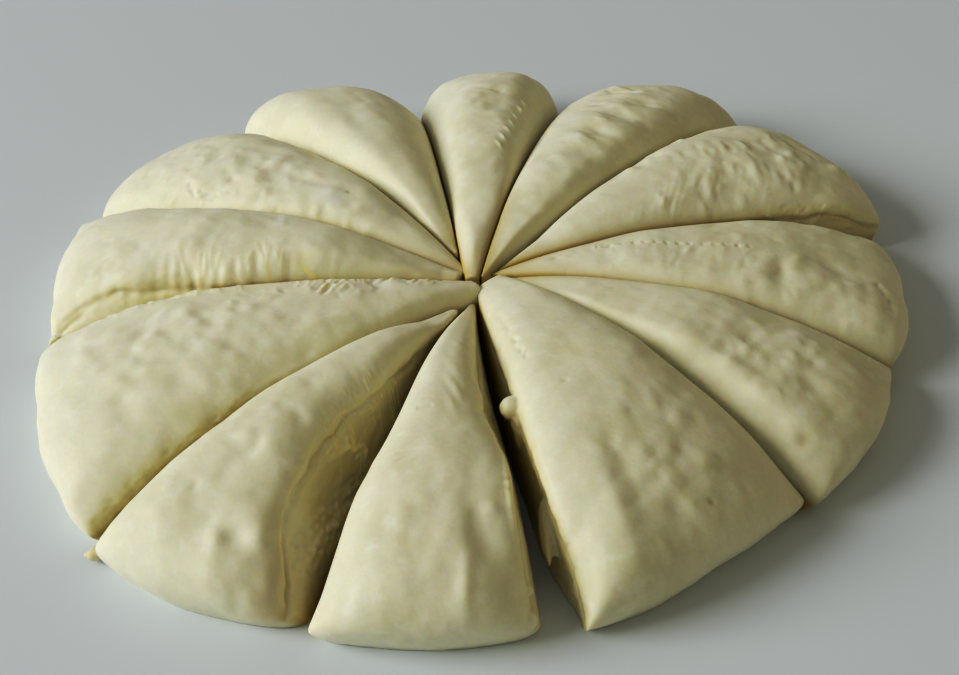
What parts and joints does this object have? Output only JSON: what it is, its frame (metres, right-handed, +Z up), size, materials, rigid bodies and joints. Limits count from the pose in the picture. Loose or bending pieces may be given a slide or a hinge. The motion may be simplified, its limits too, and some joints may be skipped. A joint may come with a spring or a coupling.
{
  "type": "round of raw bread dough cut in wedges",
  "caption": "Low round of risen raw dough, cut from the middle into wedges that still lie together, each with a rolled-over skin, flat cut faces and a flat base.",
  "frame": {"origin": "middle of the round, on the surface that it lies on", "axes": "+Z up, -Y towards the open cuts, +X to the right when the open cuts face the viewer"},
  "size_m": [0.2936, 0.2964, 0.0419],
  "materials": {
    "dough": "satin pale cream dough skin, moister and yellower where it is cut"
  },
  "bodies": {
    "root": {"wedge_01": "dough", "wedge_02": "dough", "wedge_03": "dough", "wedge_04": "dough", "wedge_05": "dough", "wedge_06": "dough", "wedge_07": "dough", "wedge_08": "dough", "wedge_09": "dough", "wedge_10": "dough", "wedge_11": "dough", "wedge_12": "dough"}
  },
  "joints": []
}
